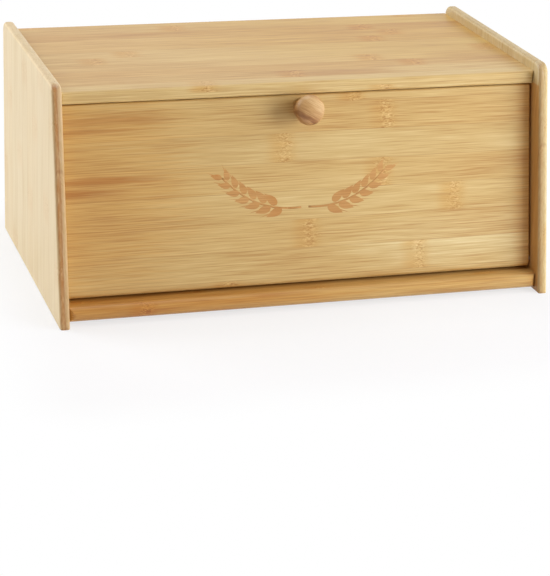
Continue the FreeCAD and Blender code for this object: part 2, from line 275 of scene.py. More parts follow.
# %% The bamboo recipe
def bamboo(name, corner, grain, across, into, strips, length, strip_width, layer=4.6, figure=1.0,
           stains=(), painted_light_face=None, dark_edge=None, scorched=False):
    """A finish for one board.

    corner is where u, v and w start, on the board's face; grain, across and into are their directions.
    strips holds (shade, knuckle, warmth) for each strip, the knuckle as a share of length. figure is
    how strongly the fibres show. stains are (u, v, half length, half width, strength, tint), in
    millimetres; besides stains and patches they hold painted shade. painted_light_face is (direction the
    face looks, tint, how far along the grain in millimetres), painted light or shade over that face.
    dark_edge is (direction the edge looks, None or where its brown band of painted shade starts and
    ends, in millimetres below the face).
    """
    material, tree, shader = new_finish(name)
    texture = tree.nodes.new("ShaderNodeTexCoord")
    from_corner = add(tree, "ShaderNodeVectorMath", texture.outputs["Object"], corner, operation="SUBTRACT")
    in_mm = tree.nodes.new("ShaderNodeVectorMath")
    in_mm.operation = "SCALE"
    feed(tree, in_mm.inputs[0], from_corner)
    feed(tree, in_mm.inputs["Scale"], 1 / MM)
    place = in_mm.outputs[0]
    u = along(tree, place, grain)
    v = along(tree, place, across)
    w = along(tree, place, into)

    # Which strip, which layer, and what the table says about that strip.
    strip_count = len(strips)
    strip_place = maths(tree, "DIVIDE", v, strip_width)
    strip = maths(tree, "FLOOR", strip_place)
    layer_number = maths(tree, "FLOOR", maths(tree, "MULTIPLY_ADD", w, 0.998 / layer, 0.001))
    stops = [(index / strip_count, (*row, 1.0)) for index, row in enumerate(strips)]
    row = ramp(tree, maths(tree, "DIVIDE", maths(tree, "ADD", strip, 0.5), strip_count), stops, "CONSTANT")
    parts = tree.nodes.new("ShaderNodeSeparateColor")
    feed(tree, parts.inputs[0], row)
    shade, knuckle_share, warmth = parts.outputs
    shift = maths(tree, "MULTIPLY", layer_number, LAYER_SHIFT)
    own = maths(tree, "ADD", maths(tree, "MULTIPLY", strip, OWN_STRIP),
                maths(tree, "MULTIPLY", layer_number, OWN_LAYER))

    # Distance along the grain to the nearest knuckle of this strip, with a ragged edge.
    knuckle_at = maths(tree, "FRACT", maths(tree, "ADD", knuckle_share, shift))
    knuckle_at = maths(tree, "MULTIPLY", knuckle_at, length)
    ragged = noise(tree, own, maths(tree, "MULTIPLY", v, 0.30), maths(tree, "MULTIPLY", w, 0.30))
    ragged = maths(tree, "MULTIPLY_ADD", ragged, 10.0, -5.0)
    beyond = maths(tree, "SUBTRACT", maths(tree, "ADD", u, ragged), knuckle_at)
    turn = maths(tree, "ADD", beyond, KNUCKLE_PERIOD / 2)
    turn = maths(tree, "FLOORED_MODULO", turn, KNUCKLE_PERIOD)
    to_knuckle = maths(tree, "SUBTRACT", turn, KNUCKLE_PERIOD / 2)
    gap = maths(tree, "ABSOLUTE", to_knuckle)
    near_knuckle = smooth(tree, gap, 3.5, 10.0, 1.0, 0.0)
    in_knuckle = smooth(tree, gap, 2.0, 6.5, 1.0, 0.0)

    # The fibres wander on their way along a strip, and swing sideways as they pass a knuckle.
    wander = noise(tree, maths(tree, "MULTIPLY_ADD", u, 0.022, own), maths(tree, "MULTIPLY", v, 0.05),
                   maths(tree, "MULTIPLY", w, 0.05), 1.0)
    swing = noise(tree, maths(tree, "ADD", maths(tree, "MULTIPLY", u, 0.30), own),
                  maths(tree, "MULTIPLY", v, 0.55), maths(tree, "MULTIPLY", w, 0.55), 2.0, 0.6)
    swing = maths(tree, "MULTIPLY", maths(tree, "SUBTRACT", swing, 0.5), near_knuckle)
    bent_v = maths(tree, "MULTIPLY_ADD", wander, 0.9, v)
    bent_v = maths(tree, "MULTIPLY_ADD", swing, 5.0, bent_v)

    def fibres(length_scale, width_scale, detail, roughness=0.55):
        return noise(
            tree,
            maths(tree, "ADD", maths(tree, "MULTIPLY", u, length_scale), own),
            maths(tree, "MULTIPLY", bent_v, width_scale),
            maths(tree, "MULTIPLY", w, width_scale), detail, roughness)

    bands = fibres(0.006, 0.17, 2.0)
    streaks = fibres(0.018, 0.62, 3.0, 0.55)
    hairs = fibres(0.022, 1.05, 2.0, 0.6)
    drift = noise(tree, maths(tree, "MULTIPLY", u, 0.007), maths(tree, "MULTIPLY", v, 0.03), own, 1.0)

    def vary(value, texture_value, amount):
        """Move a shade up and down by a noise about 0.5."""
        swing_value = maths(tree, "MULTIPLY_ADD", texture_value, amount, -amount / 2)
        return maths(tree, "ADD", value, swing_value)

    tone = vary(vary(shade, bands, 0.22 * figure), streaks, 0.26 * figure)
    tone = vary(vary(tone, hairs, 0.74 * figure), drift, 0.34)
    tangle = noise(tree, maths(tree, "ADD", maths(tree, "MULTIPLY", u, 0.17), own),
                   maths(tree, "MULTIPLY", v, 0.50), maths(tree, "MULTIPLY", w, 0.50), 2.0, 0.6, 2.0)
    knots = maths(tree, "MULTIPLY_ADD", tangle, 1.4 * figure, -0.68 * figure)
    knots = maths(tree, "MULTIPLY", knots, in_knuckle)
    tone = maths(tree, "ADD", tone, knots)
    base = ramp(tree, tone, BAMBOO_SHADES)
    halo = smooth(tree, maths(tree, "ABSOLUTE", maths(tree, "ADD", to_knuckle, 3.0)), 4.0, 16.0, 1.0, 0.0)
    halo = maths(tree, "MULTIPLY", halo, maths(tree, "MULTIPLY_ADD", bands, 1.6, -0.1))
    halo = maths(tree, "MULTIPLY", halo, maths(tree, "MULTIPLY_ADD", shade, -1.3, 1.6))
    base = blend(tree, maths(tree, "MULTIPLY", halo, figure), base, HONEY_HALO, "MULTIPLY")
    base = blend(tree, 1.0, base, blend(tree, warmth, COOL_TINT, WARM_TINT), "MULTIPLY")
    # Painted light and shade over one whole face: browner inner faces inside the box, and a brighter inner
    # face of the door.
    if painted_light_face:
        face_direction, tint, reach = painted_light_face
        on_face = smooth(tree, along(tree, texture.outputs["Normal"], face_direction), 0.75, 0.98)
        on_face = maths(tree, "MULTIPLY", on_face, smooth(tree, u, reach, reach + 2.0, 1.0, 0.0))
        base = blend(tree, on_face, base, tint, "MULTIPLY")

    # A hairline of glue between strips.
    into_strip = maths(tree, "FRACT", strip_place)
    edge_gap = maths(tree, "MINIMUM", into_strip, maths(tree, "SUBTRACT", 1.0, into_strip))
    glue = smooth(tree, maths(tree, "MULTIPLY", edge_gap, strip_width), 0.10, 0.45, 0.6, 0.0)
    base = blend(tree, maths(tree, "MULTIPLY", glue, streaks), base, GLUE_TINT, "MULTIPLY")

    # Stains, pale patches and patches of painted shade, broken up by the fibres that carry them.
    for stain_u, stain_v, half_length, half_width, strength, tint in stains:
        du = maths(tree, "DIVIDE", maths(tree, "SUBTRACT", u, stain_u), half_length)
        dv = maths(tree, "DIVIDE", maths(tree, "SUBTRACT", bent_v, stain_v), half_width)
        spread = maths(tree, "ADD", maths(tree, "MULTIPLY", du, du), maths(tree, "MULTIPLY", dv, dv))
        spread = maths(tree, "ADD", spread, maths(tree, "MULTIPLY_ADD", streaks, -2.4, 1.2))
        amount = smooth(tree, spread, 0.0, 1.3, strength, 0.0)
        base = blend(tree, amount, base, tint, "MULTIPLY")

    # Cut ends: darker, with the mouths of the fibres as dots.
    facing = maths(tree, "ABSOLUTE", along(tree, texture.outputs["Normal"], grain))
    end_grain = smooth(tree, facing, 0.55, 0.85)
    pores = tree.nodes.new("ShaderNodeTexVoronoi")
    feed(tree, pores.inputs["Vector"], add(
        tree, "ShaderNodeCombineXYZ", own, maths(tree, "MULTIPLY", v, 1.5), maths(tree, "MULTIPLY", w, 1.5)))
    feed(tree, pores.inputs["Scale"], 1.0)
    dots = smooth(tree, pores.outputs["Distance"], 0.16, 0.34, 0.65, 0.12)
    base = blend(tree, maths(tree, "MULTIPLY", dots, end_grain), base, PORE_TINT)

    if dark_edge:
        edge_direction, band = dark_edge
        on_edge = smooth(tree, along(tree, texture.outputs["Normal"], edge_direction), 0.15, 0.75)
        tinted = maths(tree, "MULTIPLY", on_edge, smooth(tree, w, *EDGE_TINT_DEPTH))
        base = blend(tree, tinted, base, EDGE_TINT, "MULTIPLY")
    # Painted shade: a brown band along the rounded outer corner of the left panel's front edge, which is
    # turned away from the key.
    if dark_edge and band:
        band_from, band_to = band
        depth = maths(tree, "ADD", w, maths(tree, "MULTIPLY_ADD", bands, 1.6, -0.8))
        inside = maths(tree, "MULTIPLY", smooth(tree, depth, band_from - 0.4, band_from + 1.6),
                       smooth(tree, depth, band_to - 0.9, band_to + 0.5, 1.0, 0.0))
        amount = maths(tree, "MULTIPLY", maths(tree, "MULTIPLY", on_edge, inside),
                       maths(tree, "MULTIPLY_ADD", streaks, 1.4, 0.15))
        base = blend(tree, amount, base, EDGE_PAINTED_SHADE, "MULTIPLY")

    if scorched:
        base = blend(tree, maths(tree, "MULTIPLY_ADD", streaks, 0.5, 0.75), base, SCORCH_TINT, "MULTIPLY")

    feed(tree, shader["Base Color"], base)
    feed(tree, shader["Roughness"], maths(tree, "MULTIPLY_ADD", hairs, 0.16, 0.42))
    shader["Coat Weight"].default_value = 0.22
    shader["Coat Roughness"].default_value = 0.28
    relief = maths(tree, "ADD", maths(tree, "MULTIPLY", streaks, 0.6), maths(tree, "MULTIPLY", hairs, 0.4))
    relief = maths(tree, "ADD", relief, maths(tree, "MULTIPLY", knots, 0.5))
    bump = tree.nodes.new("ShaderNodeBump")
    bump.inputs["Strength"].default_value = 0.35
    bump.inputs["Distance"].default_value = 0.12 * MM
    feed(tree, bump.inputs["Height"], relief)
    feed(tree, shader["Normal"], bump.outputs["Normal"])
    return material


# %% [markdown]
# ## Laying out the boards
#
# Every board gets its own material, because each starts at its own corner and has its own grain
# direction. The door is the board that everyone looks at, so its strips are listed one by one, from the
# hinge upwards; so are the strips of the top, from the front edge backwards. The other boards take a
# made-up layout from a fixed seed.

# %% The door's strips
door_low, door_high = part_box("door_panel")
door_length_mm = (door_high.x - door_low.x) / MM
door_strip_width = 22.7
door_figure = 0.95
door_first_strip = -17.4     # mm from the lower edge: the first strip is a sliver cut by that edge
door_corner = door_face - up_the_door * (hinge_to_lower_edge - door_first_strip * MM)
door_corner.x = door_low.x
door_strips = [
    (0.50, 0.34, 0.5),
    (0.53, 0.75, 0.4),
    (0.50, 0.51, 0.5),
    (0.52, 0.83, 0.4),
    (0.50, 0.67, 0.5),
    (0.53, 0.46, 0.3),
    (0.51, 0.68, 0.6),
    (0.52, 0.61, 0.5),
]
door_stains_and_painted_shade = [
    (0.0, 105.0, 110.0, 105.0, 0.8, HONEY_STAIN),
    (30.0, 107.0, 52.0, 3.6, 0.75, BROWN_STAIN),
    (8.0, 98.0, 46.0, 3.4, 0.65, BROWN_STAIN),
    (34.0, 153.0, 46.0, 3.0, 0.40, BROWN_STAIN),
    (20.0, 145.0, 40.0, 2.0, 0.50, BROWN_STAIN),
    (330.0, 45.0, 110.0, 26.0, 0.8, PALE_PATCH),
    # Painted shade: the right end of the door is made warmer where the right side panel shades it.
    (390.0, 90.0, 22.0, 400.0, 1.0, END_PAINTED_SHADE),
]
# The door's inner face carries painted light and is brighter than the same bamboo outside.
door_bamboo = bamboo(
    "door_bamboo", door_corner, RIGHT, up_the_door, -out_of_door, door_strips, door_length_mm,
    door_strip_width, figure=door_figure, stains=door_stains_and_painted_shade,
    painted_light_face=(-out_of_door, DOOR_BACK_PAINTED_LIGHT, door_length_mm))
door_mark = bamboo(
    "door_scorch", door_corner, RIGHT, up_the_door, -out_of_door, door_strips, door_length_mm,
    door_strip_width, figure=door_figure, stains=door_stains_and_painted_shade, scorched=True)

# %% The top's strips
top_strip_width = 19.5
top_strips = [
    (0.60, 0.30, 0.5),
    (0.48, 0.50, 0.8),
    (0.46, 0.78, 1.0),
    (0.53, 0.70, 0.8),
    (0.55, 0.12, 0.7),
    (0.54, 0.20, 0.7),
    (0.47, 0.76, 1.0),
    (0.50, 0.82, 1.0),
    (0.45, 0.77, 1.0),
    (0.54, 0.35, 0.8),
    (0.54, 0.90, 0.8),
]
top_corner = Vector((top_low.x, top_low.y - 5 * MM, top_high.z))
top_length_mm = (top_high.x - top_low.x) / MM
top_stains = [
    (350.0, 150.0, 240.0, 120.0, 1.0, GOLDEN_PATCH),
    (350.0, 34.0, 90.0, 26.0, 1.0, PALE_PATCH),
    (85.0, 165.0, 30.0, 6.0, 0.25, BROWN_STAIN),
    (250.0, 168.0, 30.0, 4.0, 0.25, BROWN_STAIN),
    (232.0, 28.0, 44.0, 10.0, 0.35, BROWN_STAIN),
]
top_bamboo = bamboo(
    "top_bamboo", top_corner, RIGHT, BACK, -UP, top_strips, top_length_mm, top_strip_width, layer=5.0,
    figure=1.2, stains=top_stains)

# %% The other boards
side_height_mm = (side_high.z - side_low.z) / MM
side_strip_width = 22.0
side_depth_mm = (side_high.y - side_low.y) / MM
side_strip_count = math.ceil(side_depth_mm / side_strip_width)


def side_bamboo(name, node, seed, outward, shade, figure, inner_painted_shade, dark_edge=None, stains=()):
    """A side panel's finish: the grain stands upright and the strips run from front to back."""
    low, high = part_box(node)
    corner = Vector((high.x if outward.x > 0 else low.x, low.y, low.z))
    # The side panel's inner face takes painted shade, up to the underside of the top.
    return bamboo(
        name, corner, UP, BACK, -outward, strip_table(seed, side_strip_count, shade, 0.03), side_height_mm,
        side_strip_width, layer=4.0, figure=figure, stains=stains, dark_edge=dark_edge,
        painted_light_face=(-outward, inner_painted_shade, (top_low.z - low.z) / MM))


# The left panel's front edge carries a brown band of painted shade from 0.1 to 4.7 mm below its outer face.
left_edge = (out_of_door, (0.1, 4.7))
right_edge = (out_of_door, None)
right_stains = [(side_height_mm / 2, side_depth_mm / 2, side_height_mm, side_depth_mm, 1.0, GREYED_TINT)]
left_bamboo = side_bamboo(
    "left_bamboo", "side_panel_left", 11, -RIGHT, 0.95, 0.9, LEFT_INNER_PAINTED_SHADE, left_edge)
right_bamboo = side_bamboo(
    "right_bamboo", "side_panel_right", 12, RIGHT, 0.68, 0.9, RIGHT_INNER_PAINTED_SHADE, right_edge, right_stains)


def board_bamboo(name, node, across, into, seed, strip_width=20.0, shade=0.5, tint=None, stains=()):
    """A board between the side panels: the grain runs along the box."""
    low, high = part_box(node)
    corner = Vector((low.x, low.y, high.z if into.z < 0 else low.z))
    count = max(1, math.ceil(abs((high - low).dot(across)) / MM / strip_width))
    length = (high.x - low.x) / MM
    # A tint given here is painted shade on the face that looks into the box.
    return bamboo(
        name, corner, RIGHT, across, into, strip_table(seed, count, shade), length, strip_width,
        stains=stains, painted_light_face=tint and (-into, tint, length))


rail_stains = [(0.0, 8.0, 230.0, 60.0, 0.9, HONEY_STAIN), (120.0, 8.0, 360.0, 60.0, 0.7, HONEY_STAIN)]
foot_stains = [(176.0, 10.0, 40.0, 7.0, 0.5, SMOKE_STAIN), (215.0, 9.0, 46.0, 9.0, 0.6, BROWN_STAIN)]
board_finishes = {
    "door_panel": door_bamboo,
    "top_panel": top_bamboo,
    "side_panel_left": left_bamboo,
    "side_panel_right": right_bamboo,
    "floor_panel": board_bamboo("floor_bamboo", "floor_panel", BACK, -UP, 21, 20.0, 0.42, FLOOR_PAINTED_SHADE),
    "front_rail": board_bamboo(
        "front_rail_bamboo", "front_rail", UP, BACK, 22, 13.0, 0.53, stains=rail_stains),
    "back_panel": board_bamboo("back_bamboo", "back_panel", UP, BACK, 23, 26.0, 0.45, BACK_PAINTED_SHADE),
    "back_rail": board_bamboo(
        "back_rail_bamboo", "back_rail", UP, BACK, 24, 30.0, 0.62, FOOT_PAINTED_SHADE, foot_stains),
    "catch_block": board_bamboo("block_bamboo", "catch_block", UP, BACK, 25, 30.0, 0.6),
}
print("board finishes:", ", ".join(sorted(board_finishes)))

# %% [markdown]
# ## The turned knob
#
# The knob is turned from a small billet of a closer-grained wood, browner than the bamboo. On a lathe the
# growth rings are cut at an angle, so the flat face shows diagonal bands and the sides show long curves.
# Rings are planes of constant depth in the billet: one direction, a little noise, and a sine wave.


# %% The knob's finish
RING_PHASE = 0.33            # where the dark ring runs: lower left of the middle on the knob's face


def turned_wood(name, centre, ring_direction, ring_gap):
    """Growth rings through a billet; ring_direction points from one ring to the next."""
    material, tree, shader = new_finish(name)
    texture = tree.nodes.new("ShaderNodeTexCoord")
    place = add(tree, "ShaderNodeVectorMath", texture.outputs["Object"], centre, operation="SUBTRACT")
    scaled = tree.nodes.new("ShaderNodeVectorMath")
    scaled.operation = "SCALE"
    feed(tree, scaled.inputs[0], place)
    feed(tree, scaled.inputs["Scale"], 1 / MM)
    place = scaled.outputs[0]
    depth = along(tree, place, ring_direction)
    side = along(tree, place, ring_direction.cross(out_of_door))
    out = along(tree, place, out_of_door)
    warp = noise(tree, maths(tree, "MULTIPLY", depth, 0.10), maths(tree, "MULTIPLY", side, 0.05),
                 maths(tree, "MULTIPLY", out, 0.05), 2.0)
    ring = maths(tree, "ADD", maths(tree, "DIVIDE", depth, ring_gap),
                 maths(tree, "MULTIPLY_ADD", warp, 0.7, RING_PHASE))
    wave = maths(tree, "SINE", maths(tree, "MULTIPLY", ring, 2 * math.pi))
    wave = maths(tree, "POWER", maths(tree, "MULTIPLY_ADD", wave, 0.5, 0.5), 9.0)
    lines = noise(tree, maths(tree, "MULTIPLY", depth, 1.6), maths(tree, "MULTIPLY", side, 0.10),
                  maths(tree, "MULTIPLY", out, 0.10), 3.0, 0.6)
    # Paler towards the upper right of the knob and darker towards the lower left: partly the billet's darker
    # side, partly painted highlight and shade from the key on the right.
    heart_and_painted_highlight = smooth(tree, depth, -6.0, 8.0, -0.14, 0.16)
    tone = maths(tree, "ADD", maths(tree, "MULTIPLY_ADD", wave, -0.34, 0.66),
                 maths(tree, "MULTIPLY_ADD", lines, 0.8, -0.40))
    tone = maths(tree, "ADD", tone, heart_and_painted_highlight)
    base = ramp(tree, tone, [
        (0.00, colour(112, 66, 30)), (0.35, colour(160, 112, 64)),
        (0.65, colour(194, 153, 98)), (1.00, colour(220, 188, 138))])
    feed(tree, shader["Base Color"], base)
    feed(tree, shader["Roughness"], maths(tree, "MULTIPLY_ADD", lines, 0.15, 0.36))
    bump = tree.nodes.new("ShaderNodeBump")
    bump.inputs["Strength"].default_value = 0.25
    bump.inputs["Distance"].default_value = 0.08 * MM
    feed(tree, bump.inputs["Height"], lines)
    feed(tree, shader["Normal"], bump.outputs["Normal"])
    return material


knob_low, knob_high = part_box("door_knob")
knob_centre = (knob_low + knob_high) / 2
ring_direction = (up_the_door * 0.85 + RIGHT * 0.5).normalized()
knob_wood = turned_wood("knob_wood", knob_centre, ring_direction, 20.0)

# %% [markdown]
# ## Small metal and the hidden dowels
#
# The magnet is nickel plated, and the screws and hinge pins are zinc plated steel. Most of their look is
# what they reflect. A faint mottling of the roughness keeps them from looking like chrome. The magnet is
# only partly metallic, and its creamy colour is a painted reflection of the bamboo round it. The dowels
# are plain beech that nobody sees, but they are real pieces and get a real finish.


# %% Metal and beech
def plated(name, shade, roughness, mottle, metallic=1.0):
    """A plated metal; mottle is how much the roughness varies."""
    material, tree, shader = new_finish(name)
    texture = tree.nodes.new("ShaderNodeTexCoord")
    spots = tree.nodes.new("ShaderNodeTexNoise")
    feed(tree, spots.inputs["Vector"], texture.outputs["Object"])
    feed(tree, spots.inputs["Scale"], 900.0)
    feed(tree, shader["Base Color"], blend(tree, spots.outputs["Fac"], shade, colour(150, 148, 142)))
    feed(tree, shader["Roughness"], maths(tree, "MULTIPLY_ADD", spots.outputs["Fac"], mottle, roughness))
    shader["Metallic"].default_value = metallic
    return material


# Painted reflection: the magnet's creamy colour stands in for the bamboo round it, seen in the plate.
nickel = plated("magnet_nickel", colour(226, 208, 180), 0.30, 0.16, 0.45)
zinc = plated("zinc_plate", colour(190, 192, 190), 0.30, 0.22)
beech = turned_wood("dowel_beech", Vector((0, 0, 0)), UP, 2.4)

finishes = dict(board_finishes)
finishes["door_knob"] = knob_wood
finishes["catch_magnet"] = nickel
for name in ("knob_screw", "catch_block_screw", "hinge_pin_left", "hinge_pin_right"):
    finishes[name] = zinc
for name, node in nodes.items():
    node.data.materials.clear()
    node.data.materials.append(finishes.get(name, beech))
print("finished nodes:", len(nodes))

# %% [markdown]
# ## The ornament on the door
#
# The door carries a mark scorched into its face. Two ears of wheat, drawn flat and facing each other,
# suit a bread box. An ear is the same grain repeated up a stem, left and right in turn, each a little
# smaller than the last, which is what Geometry Nodes do well: a curve for the stem, points along it,
# and one grain on each point. The tree has named inputs for its sizes, so that the ear can be redrawn
# by changing numbers. The result is a sheet 0.04 mm thick that lies on the door and shows the same
# strips and fibres as the wood around it, only browner.


# %% Geometry Nodes helpers
def new_tree(name, inputs):
    """A Geometry Nodes tree with named inputs: the tree, its input node and its output node."""
    tree = bpy.data.node_groups.new(name, "GeometryNodeTree")
    tree.interface.new_socket("Geometry", in_out="OUTPUT", socket_type="NodeSocketGeometry")
    for label, kind in inputs:
        tree.interface.new_socket(label, in_out="INPUT", socket_type="NodeSocket" + kind)
    return tree, tree.nodes.new("NodeGroupInput"), tree.nodes.new("NodeGroupOutput")


def named(tree, kind, settings=None, **inputs):
    """Add a node and feed its inputs by name, with underscores for spaces."""
    made = tree.nodes.new(kind)
    for key, value in (settings or {}).items():
        setattr(made, key, value)
    for key, value in inputs.items():
        feed(tree, made.inputs[key.replace("_", " ")], value)
    return made


def baked_mesh(name, tree, values):
    """Run a Geometry Nodes tree on an empty mesh and return the plain mesh that it makes."""
    carrier = bpy.data.objects.new(name + "_carrier", bpy.data.meshes.new(name + "_empty"))
    bpy.context.scene.collection.objects.link(carrier)
    modifier = carrier.modifiers.new("make", "NODES")
    modifier.node_group = tree
    for item in tree.interface.items_tree:
        if item.in_out == "INPUT" and item.name in values:
            modifier[item.identifier] = values[item.name]
    depsgraph = bpy.context.evaluated_depsgraph_get()
    mesh = bpy.data.meshes.new_from_object(carrier.evaluated_get(depsgraph))
    bpy.data.objects.remove(carrier)
    mesh.name = name
    return mesh


# %% The ear of wheat
def wheat_tree():
    tree, given, result = new_tree("wheat_ear", [
        ("Stem Start", "Vector"), ("Stem Bend", "Vector"), ("Stem End", "Vector"),
        ("Stem Width", "Float"), ("Ear Start", "Float"), ("Grains", "Int"),
        ("Grain Length", "Float"), ("Grain Width", "Float"), ("Splay", "Float"),
        ("Awn Length", "Float"), ("Awn Width", "Float"), ("Thickness", "Float"), ("Finish", "Material")])
    asked = given.outputs
    stem = named(tree, "GeometryNodeCurveQuadraticBezier", Start=asked["Stem Start"],
                 Middle=asked["Stem Bend"], End=asked["Stem End"], Resolution=24).outputs[0]

    # The stem: a flat ribbon along the curve.
    ribbon_profile = named(tree, "GeometryNodeCurvePrimitiveLine", {"mode": "DIRECTION"},
                           Start=(0, 0, 0), Direction=(1, 0, 0), Length=asked["Stem Width"]).outputs[0]
    ribbon = named(tree, "GeometryNodeCurveToMesh", Curve=stem, Profile_Curve=ribbon_profile).outputs[0]

    # Points up the ear, where grains grow left and right in turn.
    ear_line = named(tree, "GeometryNodeTrimCurve", Curve=stem, Start=asked["Ear Start"]).outputs[0]
    on_stem = named(tree, "GeometryNodeCurveToPoints", Curve=ear_line, Count=asked["Grains"])
    facing = named(tree, "FunctionNodeAlignRotationToVector", {"axis": "X"},
                   Vector=on_stem.outputs["Tangent"]).outputs[0]
    number = tree.nodes.new("GeometryNodeInputIndex").outputs[0]
    odd = maths(tree, "FLOORED_MODULO", number, 2.0)
    side = maths(tree, "MULTIPLY_ADD", odd, 2.0, -1.0)
    up_the_ear = maths(tree, "DIVIDE", number, asked["Grains"])
    taper = maths(tree, "MULTIPLY_ADD", up_the_ear, -0.34, 1.0)

    # One grain: a disc drawn out into a drop, pointed at its tip.
    disc = named(tree, "GeometryNodeMeshCircle", {"fill_type": "NGON"}, Vertices=18, Radius=0.5).outputs[0]
    where = tree.nodes.new("ShaderNodeSeparateXYZ")
    feed(tree, where.inputs[0], tree.nodes.new("GeometryNodeInputPosition").outputs[0])
    share = maths(tree, "ADD", where.outputs[0], 0.5)
    pinch = maths(tree, "SUBTRACT", 1.15, maths(tree, "POWER", share, 2.0))
    half_width = maths(tree, "MULTIPLY", where.outputs[1], pinch)
    drop = add(tree, "ShaderNodeCombineXYZ", maths(tree, "MULTIPLY", share, asked["Grain Length"]),
               maths(tree, "MULTIPLY", half_width, asked["Grain Width"]), 0.0)
    grain = named(tree, "GeometryNodeSetPosition", Geometry=disc, Position=drop).outputs[0]

    # One awn: a long thin spike from the grain's tip.
    awn_scale = add(tree, "ShaderNodeCombineXYZ", asked["Awn Length"], asked["Awn Width"], 1.0)
    spike = named(tree, "GeometryNodeMeshCircle", {"fill_type": "NGON"}, Vertices=3, Radius=0.667).outputs[0]
    awn_from = add(tree, "ShaderNodeCombineXYZ", asked["Grain Length"], 0.0, 0.0)
    awn = named(tree, "GeometryNodeTransform", Geometry=spike, Scale=awn_scale,
                Translation=awn_from).outputs[0]

    def grow(shape, splay_share, offset_share):
        """Put a shape on every point, turned away from the stem on alternate sides."""
        grown = named(tree, "GeometryNodeInstanceOnPoints", Points=on_stem.outputs["Points"],
                      Instance=shape, Rotation=facing,
                      Scale=add(tree, "ShaderNodeCombineXYZ", taper, taper, 1.0)).outputs[0]
        shift = maths(tree, "MULTIPLY", maths(tree, "MULTIPLY", side, asked["Grain Width"]), offset_share)
        grown = named(tree, "GeometryNodeTranslateInstances", Instances=grown,
                      Translation=add(tree, "ShaderNodeCombineXYZ", 0.0, shift, 0.0)).outputs[0]
        turn = maths(tree, "MULTIPLY", maths(tree, "MULTIPLY", side, asked["Splay"]), splay_share)
        return named(tree, "GeometryNodeRotateInstances", Instances=grown,
                     Rotation=add(tree, "ShaderNodeCombineXYZ", 0.0, 0.0, turn)).outputs[0]

    # Give each kind of shape its own thickness, so that no two faces lie in one plane where shapes cross:
    # raise a copy of every face, and keep the first, turned over, as the underside.
    whole = tree.nodes.new("GeometryNodeJoinGeometry")
    for shape, share in ((ribbon, 0.5), (grow(awn, 0.8, 0.22), 0.75), (grow(grain, 1.0, 0.22), 1.0)):
        flat = named(tree, "GeometryNodeRealizeInstances", Geometry=shape).outputs[0]
        raised = named(tree, "GeometryNodeExtrudeMesh", Mesh=flat, Offset=(0, 0, 1),
                       Offset_Scale=maths(tree, "MULTIPLY", asked["Thickness"], share),
                       Individual=False).outputs[0]
        tree.links.new(raised, whole.inputs[0])
        tree.links.new(named(tree, "GeometryNodeFlipFaces", Mesh=flat).outputs[0], whole.inputs[0])
    welded = named(tree, "GeometryNodeMergeByDistance", Geometry=whole.outputs[0],
                   Distance=0.001 * MM).outputs[0]
    painted = named(tree, "GeometryNodeSetMaterial", Geometry=welded, Material=asked["Finish"]).outputs[0]
    tree.links.new(painted, result.inputs[0])
    return tree


# %% Draw the pair of ears on the door
ear_values = {
    "Stem Start": (3 * MM, -17 * MM, 0.0), "Stem Bend": (40 * MM, -20 * MM, 0.0),
    "Stem End": (66 * MM, 9 * MM, 0.0), "Stem Width": 1.5 * MM, "Ear Start": 0.22, "Grains": 13,
    "Grain Length": 14 * MM, "Grain Width": 6.8 * MM, "Splay": math.radians(32),
    "Awn Length": 9 * MM, "Awn Width": 0.9 * MM, "Thickness": 0.04 * MM, "Finish": door_mark}
ear_mesh = baked_mesh("wheat_mark", wheat_tree(), ear_values)
mark_height = 72 * MM        # middle of the ornament above the hinge axis, up the door
mark_centre = door_face + up_the_door * mark_height + out_of_door * (0.01 * MM)
to_door = Matrix((
    (*RIGHT, 0), (*up_the_door, 0), (*out_of_door, 0), (0, 0, 0, 1))).transposed()
to_door.translation = mark_centre
for side, flip in (("right", 1), ("left", -1)):
    mesh = ear_mesh.copy()
    mesh.name = "wheat_mark_" + side
    mesh.transform(Matrix.Diagonal((flip, 1, 1, 1)))
    if flip < 0:
        mesh.flip_normals()
    mesh.transform(to_door)
    mark = bpy.data.objects.new("wheat_mark_" + side, mesh)
    bpy.context.scene.collection.objects.link(mark)
    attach(mark, "door")
bpy.data.meshes.remove(ear_mesh)
print("ornament triangles:", sum(len(polygon.vertices) - 2 for polygon in mesh.polygons) * 2)

# %% [markdown]
# ## Floor, light and camera
#
# The box stands on a pale floor. Next to the box the floor is partly an ordinary matt white, so it takes
# the soft shadow that makes the box stand rather than float; further out it turns into plain white, seen
# by the camera and in reflections only, so that it lights nothing.
#
# The key is a large soft lamp, slightly cool, low and to the right: it rakes across the door and throws
# the knob's shadow to the left. It is hidden from reflections, because at a grazing angle it would burn
# out the varnished top when seen from behind. A broad lamp high above and a little behind lights the top
# and reaches into the open box, and a weak cool one at the left rear lights the left panel without
# touching the door. The ambient light is warm, which stands in for the light that the wood throws back.

# %% The floor
floor_size = 8.0
clean_white = colour(255, 255, 255)
white_from_y = -0.06         # middle, from front to back, of the stretch of floor under and before the box
white_half_depth = 0.18
shadow_reach = 0.07          # beyond that stretch the floor fades to plain white over this distance
near_white = 0.70            # how much of the plain white shows next to the box


